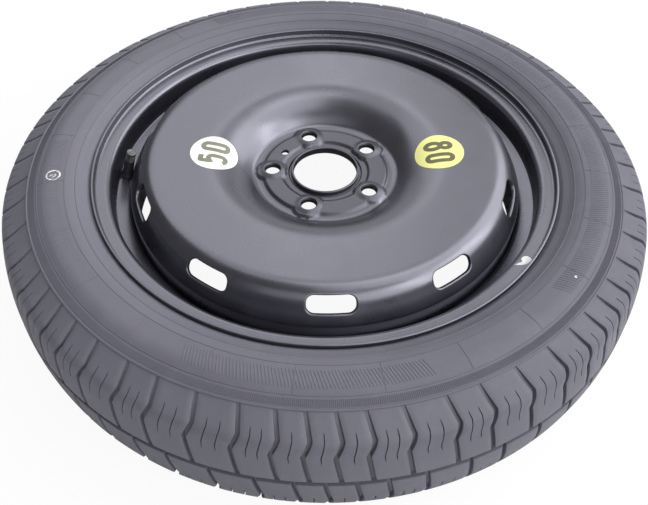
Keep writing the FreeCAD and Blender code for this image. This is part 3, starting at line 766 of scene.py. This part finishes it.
def makeRim():
    m = rimSizes
    sheet, b, gap = m["sheet"], m["lipRound"], m["lipRound"] + m["lipGap"]
    pile = PointPile()
    table = pathTable(rimCorners)
    lengths, path = table
    around = np.radians(m["valveClock"] + np.arange(360))
    holeR, holeZ = m["holeSpot"]
    middle = lengths[np.argmin(np.hypot(path[:, 0] - holeR, path[:, 1] - holeZ))]
    start, end = middle - m["holeMargin"], middle + m["holeMargin"]
    outer, height = rimHalf[0][0] - b, m["lipHeight"] - b
    inner = rimHalf[0][0] - sheet + b
    turns = np.radians(np.arange(0, 91, 18))
    lip = [(outer + b * math.cos(a), height + b * math.sin(a)) for a in turns]
    lip += [(inner - b * math.sin(a), height + b * math.cos(a)) for a in turns]
    lipRings = [turnedRing(r, z, around) for r, z in lip]
    footRings = [turnedRing(r, 2 * midHeight - z, around) for r, z in lip]
    upper, lower = latheRows(table, sheet, rowsBetween(table, rimCorners, gap, start), around)
    pile.add(*joinRings(list(reversed(lower)) + list(reversed(lipRings)) + upper, closed=False))
    upper, lower = latheRows(table, sheet, rowsBetween(table, rimCorners, end, lengths[-1] - gap), around)
    pile.add(*joinRings(upper + footRings + list(reversed(lower)), closed=False))
    downs = np.linspace(start, end, 13)
    rest = np.radians(m["valveClock"] + np.arange(m["holeColumns"], 361 - m["holeColumns"]))
    count = len(rest)
    for rows in latheRows(table, sheet, downs, rest):
        faces = [(i * count + j, i * count + j + 1, (i + 1) * count + j + 1, (i + 1) * count + j)
                 for i in range(len(rows) - 1) for j in range(count - 1)]
        pile.add(np.concatenate(rows), faces)
    hole = m["valveHole"]
    addSectors(pile, table, sheet, {
        "reach": holeR, "middle": middle, "wide": hole, "tall": hole, "corner": hole, "edge": 0.0,
        "columns": m["holeColumns"], "downs": downs, "frames": (0, 0.5, 1.2), "clocks": [m["valveClock"]]})
    rim = addPiece("rimBand", np.concatenate(pile.points), pile.faces, blackPaint, sharpAngle=40.0, weld=True)
    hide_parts("rim")
    print("rim made:", len(rim.data.vertices), "points,", len(rim.data.polygons), "faces")


makeRim()


# moulded detail on the sidewalls: knurled band, ribs, radial mould lines and plain hatched panels
moulding = {
    "knurlCount": 1200, "knurlInner": 286.1, "knurlOuter": 292.1, "knurlWidth": 0.75, "knurlHeight": 0.55,
    "ribs": [(294.3, 2.4, 0.8), (283.9, 1.0, 0.35), (257.2, 0.9, 0.35), (247.4, 1.5, 0.4)],   # radius, width, height
    "ribSides": 300, "mouldLines": 24, "mouldLineClock": 279.3, "mouldLineInner": 258.0, "mouldLineOuter": 283.4,
    "mouldLineWidth": 0.8, "mouldLineHeight": 0.3,
    "panels": [(244.0, 287.0), (318.0, 398.0), (176.0, 214.0), (62.0, 118.0)],   # start and end angle
    "panelInner": 262.5, "panelOuter": 278.5, "barStep": 0.62, "barWidth": 1.1, "barHeight": 0.32, "barSlant": 1.2,
}
wallPath = bentPath(treadCorners[3:4] + wallCorners + beadCorners[:1], arcStep=2.0, lineStep=1.0)
wallPath = wallPath[np.argsort(wallPath[:, 0], kind="stable")]


def wallSpot(radius, angle, side):
    w, nr, nw = (np.interp(radius, wallPath[:, 0], wallPath[:, k]) for k in (1, 2, 3))
    c, s = math.cos(angle), math.sin(angle)
    spot = np.array([radius * c, radius * s, midHeight + side * w])
    return spot, np.array([-nr * c, -nr * s, -side * nw])   # the path's normals point inwards


# a low ridge of trapezoid section along a line of (radius, angle) stations
def addRidge(pile, stations, width, height, side, closed=False, sunk=0.12, topShare=0.55):
    spots = [wallSpot(r, a, side) for r, a in stations]
    count = len(spots)
    points = []
    for i, (spot, normal) in enumerate(spots):
        before = spots[(i - 1) % count][0] if closed or i > 0 else spot
        after = spots[(i + 1) % count][0] if closed or i < count - 1 else spot
        across = np.cross(normal, directionOf(before, after))
        for out, up in ((-0.5, -sunk), (-0.5 * topShare, height), (0.5 * topShare, height), (0.5, -sunk)):
            points.append(spot + across * out * width + normal * up)
    faces = []
    for i in range(count if closed else count - 1):
        k = (i + 1) % count
        for j in range(4):
            m = (j + 1) % 4
            faces.append((4 * i + j, 4 * k + j, 4 * k + m, 4 * i + m))
    if not closed:
        faces += [(0, 1, 2, 3), (4 * count - 1, 4 * count - 2, 4 * count - 3, 4 * count - 4)]
    pile.add(points, faces)


def makeMoulding():
    m = moulding
    knurl, lines = PointPile(), PointPile()
    for side in (1, -1):
        for k in range(m["knurlCount"]):
            a = 2 * math.pi * k / m["knurlCount"]
            addRidge(knurl, [(m["knurlInner"], a), (m["knurlOuter"], a)], m["knurlWidth"], m["knurlHeight"], side)
        for radius, width, height in m["ribs"]:
            addRidge(lines, [(radius, a) for a in evenTurns(m["ribSides"])], width, height, side, closed=True)
        for k in range(m["mouldLines"]):
            a = math.radians(m["mouldLineClock"] + 360.0 * k / m["mouldLines"])
            radii = np.linspace(m["mouldLineInner"], m["mouldLineOuter"], 9)
            addRidge(lines, [(r, a) for r in radii], m["mouldLineWidth"], m["mouldLineHeight"], side)
        for start, end in m["panels"]:
            for degree in np.arange(start, end, m["barStep"]):
                radii = np.linspace(m["panelInner"], m["panelOuter"], 6)
                slant = np.radians(np.linspace(0, m["barSlant"], 6))
                stations = [(r, math.radians(degree) + t) for r, t in zip(radii, slant)]
                addRidge(lines, stations, m["barWidth"], m["barHeight"], side)
    for name, pile in (("sidewallKnurl", knurl), ("sidewallRibs", lines)):
        piece = addPiece(name, np.concatenate(pile.points), pile.faces, tyreRubber, sharpAngle=30.0)
        print(name, len(pile.faces), "faces")


makeMoulding()

# the stickers: round films on the bowl, with digits as ribbons laid on them
digitSizes = {
    "height": 30.2, "width": 14.0, "stroke": 5.1, "gap": 3.8, "ink": 0.1,
    "film": 0.3, "filmSides": 72, "filmRings": 9, "filmCentre": 0.02,
    "eightTop": 0.88, "eightSplit": 2.2, "fiveBowl": 1.05, "fiveShoulder": 0.95, "fiveStart": 205.0, "fiveEnd": 150.0,
    "fiveMiddle": 0.5, "fiveNeck": 1.5, "fiveStem": 0.82, "fiveArm": 0.9,
}
stickers = [{"node": "speed_label_50", "text": "50", "reach": 111.8, "clock": 179.3, "size": 24.5, "topClock": 175.0,
             "film": labelWhite, "slot": "label_white", "ink": digitOlive},
            {"node": "speed_label_80", "text": "80", "reach": 115.24, "clock": 1.6, "size": 25.2, "topClock": 2.0,
             "film": labelYellow, "slot": "label_yellow", "ink": digitDark}]
crownSpot = 150.0   # a radius on the bowl's crown, from which path lengths are counted
crownReach = np.interp(crownSpot, bowlTable[1][:, 0], bowlTable[0]) - crownSpot   # path length less radius


def arcPoints(centre, wide, tall, start, end, count):
    angles = np.radians(np.linspace(start, end, count))
    return [(centre[0] + wide * math.cos(a), centre[1] + tall * math.sin(a)) for a in angles]


# centre lines of the digits, as (across, up) from the digit's middle; closed ones end where they start
def digitStrokes(digit):
    g = digitSizes
    half, tall = (g["width"] - g["stroke"]) / 2, (g["height"] - g["stroke"]) / 2
    if digit == "0":
        line = arcPoints((0, tall - half), half, half, 0, 180, 17)
        line += arcPoints((0, half - tall), half, half, 180, 360, 17)
        return [(line, True)]
    if digit == "8":
        split = g["eightSplit"]
        upper = arcPoints((0, (tall + split) / 2), half * g["eightTop"], (tall - split) / 2, 0, 360, 33)
        lower = arcPoints((0, (split - tall) / 2), half, (tall + split) / 2, 0, 360, 37)
        return [(upper[:-1], True), (lower[:-1], True)]
    deep = half * g["fiveBowl"]
    line = arcPoints((0, deep - tall), half, deep, g["fiveStart"], 360, 15)
    line += arcPoints((0, g["fiveMiddle"]), half, half * g["fiveShoulder"], 0, g["fiveEnd"], 13)
    line += [(-half, g["fiveNeck"]), (-half * g["fiveStem"], tall), (half * g["fiveArm"], tall)]
    return [(line, False)]


# a spot on a sticker, wrapped onto the bowl by path length so that it keeps its size
def onFilm(sticker, across, up, lift):
    turn, top = math.radians(sticker["clock"]), math.radians(sticker["topClock"])
    r = np.interp(sticker["reach"], bowlTable[1][:, 0], bowlTable[0]) - crownReach
    x = r * math.cos(turn) + up * math.cos(top) + across * math.sin(top)
    y = r * math.sin(turn) + up * math.sin(top) - across * math.cos(top)
    reach = math.hypot(x, y)
    radius, z, nr, nz = onPath(bowlTable, reach + crownReach)
    radius += nr * lift
    return np.array([radius * x / reach, radius * y / reach, z + nz * lift])


def makeDigits(sticker):
    g = digitSizes
    pile = PointPile()
    offset = (g["width"] + g["gap"]) / 2
    for place, digit in ((-offset, sticker["text"][0]), (offset, sticker["text"][1])):
        for line, closed in digitStrokes(digit):
            line = fineLine([(place + x, y) for x, y in line], closed)
            count = len(line)
            points = []
            for i, spot in enumerate(line):
                before = line[(i - 1) % count] if closed or i > 0 else spot
                after = line[(i + 1) % count] if closed or i < count - 1 else spot
                ahead = directionOf(before, after)
                for side in (-0.5, 0.5):
                    across = spot[0] - ahead[1] * side * g["stroke"]
                    up = spot[1] + ahead[0] * side * g["stroke"]
                    points.append(onFilm(sticker, across, up, g["film"] + g["ink"]))
                    points.append(onFilm(sticker, across, up, g["film"] - g["ink"]))
            faces = []
            for i in range(count if closed else count - 1):
                k = (i + 1) % count
                for j, m in ((0, 2), (2, 3), (3, 1), (1, 0)):
                    faces.append((4 * i + j, 4 * i + m, 4 * k + m, 4 * k + j))
            if not closed:
                faces += [(0, 1, 3, 2), (4 * count - 4, 4 * count - 2, 4 * count - 1, 4 * count - 3)]
            pile.add(points, faces)
    addPiece("digits" + sticker["text"], np.concatenate(pile.points), pile.faces, sticker["ink"])


def makeFilm(sticker):
    g = digitSizes
    thick, turns = g["film"], evenTurns(g["filmSides"])
    radii = np.linspace(g["filmCentre"], 1.0, g["filmRings"]) * sticker["size"]
    levels = [(r, thick) for r in radii] + [(r, -thick) for r in reversed(radii)]

    def ring(r, lift):
        return np.array([onFilm(sticker, r * math.cos(a), r * math.sin(a), lift) for a in turns])

    points, faces = joinRings([ring(r, lift) for r, lift in levels])
    film = addPiece("film" + sticker["text"], points, faces, sticker["film"])
    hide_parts(sticker["node"])


for sticker in stickers:
    makeFilm(sticker)
    makeDigits(sticker)
print("stickers made")

# paint marks: a ring with a scrawl and a dot on the sidewall, a comma-shaped dab on the flange
markSizes = {
    "lift": 0.16, "sink": 0.1, "ringSpot": (268.2, 187.4), "ringOuter": 7.3, "ringInner": 5.7, "ringSides": 48,
    "dotSpot": (273.0, 323.06), "dotSize": 1.3, "dotSides": 16, "scrawlWidth": 1.1, "dabStep": 1.0,
    "dab": [(171.0, -137.2), (173.5, -138.3), (177.5, -138.4), (181.2, -137.6), (184.6, -136.0), (187.2, -133.6),
            (188.0, -131.6), (187.0, -129.6), (184.8, -127.8), (182.0, -127.6), (179.6, -129.2), (178.4, -131.6),
            (178.8, -134.2), (176.8, -135.6), (173.6, -136.2)],
    "scrawl": [(-3.2, -1.6), (-1.2, 0.9), (0.2, -1.4), (1.6, 1.6), (3.1, 0.4), (1.4, -2.2), (-0.6, -3.2)],
}
seatStart = (216.9, -3.0, 0)   # where the flange's bend runs out into the bead seat
flangePath = bentPath(rimCorners[:3] + [seatStart], arcStep=3.0, lineStep=2.0)


def onFlange(x, y):
    r = math.hypot(x, y)
    air = flangePath[:, :2] - rimSizes["sheet"] * flangePath[:, 2:]
    rows = np.argsort(air[:, 0], kind="stable")
    columns = air[:, 1], -flangePath[:, 2], -flangePath[:, 3]
    z, nr, nz = (np.interp(r, air[rows, 0], column[rows]) for column in columns)
    return np.array([x, y, z]), np.array([nr * x / r, nr * y / r, nz])


def onWall(x, y):
    return wallSpot(math.hypot(x, y), math.atan2(y, x), 1)


# a thin closed film between two outlines of one count, or inside one outline
def addFilm(pile, outline, surface, inline=None):
    lift, sink = markSizes["lift"], markSizes["sink"]
    levels = []
    for loop in [outline] if inline is None else [outline, inline]:
        spots = [surface(x, y) for x, y in loop]
        levels += [[spot + normal * h for spot, normal in spots] for h in (lift, -sink)]
    count = len(outline)
    if inline is None:
        middle, normal = surface(*np.mean(outline, 0))
        points = levels[0] + levels[1] + [middle + normal * lift, middle - normal * sink]
        faces = []
        for i in range(count):
            k = (i + 1) % count
            faces += [(i, k, 2 * count), (count + k, count + i, 2 * count + 1), (i, count + i, count + k, k)]
        pile.add(points, faces)
    else:
        order = [levels[0], levels[2], levels[3], levels[1]]
        pile.add(*joinRings([np.array(level) for level in order]))


def flatSpot(radius, clock):
    a = math.radians(clock)
    return radius * math.cos(a), radius * math.sin(a)


def makeMarks():
    m = markSizes
    pile = PointPile()
    ringSpot, dotSpot = flatSpot(*m["ringSpot"]), flatSpot(*m["dotSpot"])
    outer, inner = (circle(ringSpot, m[k], m["ringSides"]) for k in ("ringOuter", "ringInner"))
    addFilm(pile, outer, onWall, inner)
    addFilm(pile, circle(dotSpot, m["dotSize"], m["dotSides"]), onWall)
    stations = [(ringSpot[0] + x, ringSpot[1] + y) for x, y in fineLine(m["scrawl"], False)]
    stations = [(math.hypot(x, y), math.atan2(y, x)) for x, y in stations]
    addRidge(pile, stations, m["scrawlWidth"], m["lift"], 1)
    addFilm(pile, fineLine(m["dab"], True, m["dabStep"]), onFlange)
    addPiece("paintMarks", np.concatenate(pile.points), pile.faces, markWhite, sharpAngle=30.0)
    print("paint marks made")


makeMarks()

# valve cap: wide flat top on a ringed skirt
capSizes = {
    "lean": 17.0, "sides": 48, "start": 21.9, "end": 33.6, "bore": 4.0, "roof": 32.0, "tip": 0.05,
    "skirt": 4.5, "skirtEdge": 0.2, "ringDip": 0.38, "ringCount": 5, "ringMargin": 0.3,
    "ringShares": (0.45, 0.58, 0.86), "discStart": 31.0, "discEdge": 0.25, "top": 4.9, "topRound": 0.8,
    "dishRim": 3.2, "dishFloor": 3.0, "dishDepth": 0.12,
}


def capProfile():
    c = capSizes
    start, end, skirt, disc, top = (c[k] for k in ("start", "end", "skirt", "discStart", "top"))
    profile = [(c["bore"], start), (skirt - c["skirtEdge"], start), (skirt, start + c["skirtEdge"])]
    step = (disc - start - 2 * c["ringMargin"]) / c["ringCount"]
    groove = skirt - c["ringDip"]
    for k in range(c["ringCount"]):
        low = start + c["ringMargin"] + k * step
        crest, dipStart, dipEnd = (low + step * share for share in c["ringShares"])
        profile += [(skirt, crest), (groove, dipStart), (groove, dipEnd), (skirt, low + step)]
    profile += [(top - c["discEdge"], disc), (top, disc + c["discEdge"])]
    bend, turns = c["topRound"], np.radians(np.arange(0, 91, 15))
    profile += [(top - bend + bend * math.cos(a), end - bend + bend * math.sin(a)) for a in turns]
    dish = end - c["dishDepth"]
    return profile + [(c["dishRim"], end), (c["dishFloor"], dish), (c["tip"], dish), (c["tip"], c["roof"]),
                      (c["bore"], c["roof"])]


# the cap stands on the rim's outer face at the valve hole, square to it
def makeCap():
    c, m = capSizes, rimSizes
    clock, lean = math.radians(m["valveClock"]), math.radians(c["lean"])
    outward = np.array([math.cos(clock), math.sin(clock), 0])
    upward = np.array([0, 0, 1.0])
    axis = upward * math.cos(lean) - outward * math.sin(lean)
    foot = outward * m["holeSpot"][0] + upward * m["holeSpot"][1] + axis * m["sheet"]
    sideA = np.cross(axis, (0, 1, 0))
    sideA /= np.linalg.norm(sideA)
    sideB = np.cross(axis, sideA)
    angles = evenTurns(c["sides"])
    spokes = np.outer(np.cos(angles), sideA) + np.outer(np.sin(angles), sideB)
    points, faces = joinRings([foot + axis * w + r * spokes for r, w in capProfile()])
    cap = addPiece("valveCapRinged", points, faces, capPlastic, body="cap", sharpAngle=40.0)
    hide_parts("valve_cap")


makeCap()
print("valve cap made")


# floor, light and camera
stageLook = {"floorHeight": cadLow.z, "floorSize": 30.0, "floorGrey": 0.86, "glow": 0.93, "worldLight": 0.18}


def makeFloor():
    finish, nodes, links, shader = newFinish("paleFloor")
    nodes.remove(shader)
    matt = nodes.new("ShaderNodeBsdfDiffuse")
    matt.inputs["Color"].default_value = (*[stageLook["floorGrey"]] * 3, 1)
    glow = nodes.new("ShaderNodeEmission")
    glow.inputs["Strength"].default_value = 1.0
    rays = nodes.new("ShaderNodeLightPath")
    share = nodes.new("ShaderNodeMath")
    share.operation = "MULTIPLY"
    share.inputs[1].default_value = stageLook["glow"]
    links.new(rays.outputs["Is Camera Ray"], share.inputs[0])
    blend = nodes.new("ShaderNodeMixShader")
    links.new(share.outputs[0], blend.inputs["Fac"])
    links.new(matt.outputs[0], blend.inputs[1])
    links.new(glow.outputs[0], blend.inputs[2])
    links.new(blend.outputs[0], nodes["Material Output"].inputs["Surface"])
    half = stageLook["floorSize"] / 2
    mesh = bpy.data.meshes.new("floor")
    z = stageLook["floorHeight"]
    mesh.from_pydata([(-half, -half, z), (half, -half, z), (half, half, z), (-half, half, z)], [], [(0, 1, 2, 3)])
    mesh.materials.append(finish)
    floor = bpy.data.objects.new("floor", mesh)
    scene.collection.objects.link(floor)


def makeWorld():
    world = bpy.data.worlds.new("studio")
    scene.world = world
    world.use_nodes = True
    nodes, links = world.node_tree.nodes, world.node_tree.links
    back = nodes["Background"]
    back.inputs["Color"].default_value = (1, 1, 1, 1)
    rays = nodes.new("ShaderNodeLightPath")
    level = nodes.new("ShaderNodeMapRange")
    level.inputs["To Min"].default_value = stageLook["worldLight"]
    level.inputs["To Max"].default_value = 1.0
    links.new(rays.outputs["Is Camera Ray"], level.inputs["Value"])
    links.new(level.outputs["Result"], back.inputs["Strength"])


# soft boxes round the part: turn from the back towards the right, height angle, distance, size, radiance
softboxes = {
    "rightBackBox": (62.0, 33.0, 2.6, (2.3, 1.9), 2.7),
    "rightBox": (106.0, 33.0, 2.6, (2.3, 1.9), 2.7),
    "rightFrontBox": (150.0, 33.0, 2.6, (2.3, 1.9), 2.2),
    "backBox": (-19.0, 41.0, 2.8, (2.0, 1.5), 1.45),
    "topBox": (80.0, 72.0, 2.8, (2.0, 1.8), 2.0),
    "backRightBox": (22.0, 41.0, 2.8, (1.8, 1.5), 0.8),
    "topBackBox": (0.0, 70.0, 2.8, (2.4, 1.1), 1.0),
    "lowBackBox": (5.0, 13.0, 2.8, (3.0, 0.8), 0.75),
    "leftFrontBox": (-162.0, 40.0, 2.8, (1.6, 1.6), 0.6),
}


def makeSoftbox(name, turn, height, distance, size, radiance):
    turn, height = math.radians(turn), math.radians(height)
    lamp = bpy.data.lights.new(name, "AREA")
    lamp.shape = "RECTANGLE"
    lamp.size, lamp.size_y = size
    lamp.energy = radiance * math.pi * size[0] * size[1]
    box = bpy.data.objects.new(name, lamp)
    way = Vector((math.cos(height) * math.sin(turn), math.cos(height) * math.cos(turn), math.sin(height)))
    box.location = way * distance
    box.rotation_mode = "QUATERNION"
    box.rotation_quaternion = way.to_track_quat("Z", "Y")
    scene.collection.objects.link(box)


cameraFit = {"distance": 836.0, "elevation": 41.2546, "pitch": 47.855, "roll": 0.785, "turn": -1.0,
             "aimHeight": 22.5, "focalPixels": 818.85, "imageWidth": 648, "sensor": 36.0}


def makeCamera():
    c = cameraFit
    e, pitch, roll = (math.radians(c[k]) for k in ("elevation", "pitch", "roll"))
    turn = Matrix.Rotation(math.radians(c["turn"]), 3, "Z")
    place = turn @ Vector((0, -c["distance"] * math.cos(e), c["distance"] * math.sin(e)))
    place += Vector((0, 0, c["aimHeight"]))
    ahead = turn @ Vector((0, math.cos(pitch), -math.sin(pitch)))
    right = turn @ Vector((1, 0, 0))
    up = right.cross(ahead)
    tiltedRight = right * math.cos(roll) + up * math.sin(roll)
    tiltedUp = up * math.cos(roll) - right * math.sin(roll)
    lens = bpy.data.cameras.new("photoCamera")
    lens.sensor_fit = "HORIZONTAL"
    lens.sensor_width = c["sensor"]
    lens.lens = c["sensor"] * c["focalPixels"] / c["imageWidth"]
    camera = bpy.data.objects.new("photoCamera", lens)
    axes = Matrix((tiltedRight, tiltedUp, -ahead)).transposed().to_4x4()
    camera.matrix_world = Matrix.Translation(place * mm) @ axes
    scene.collection.objects.link(camera)
    scene.camera = camera


makeFloor()
makeWorld()
for name, look in softboxes.items():
    makeSoftbox(name, *look)
makeCamera()
print("stage made")
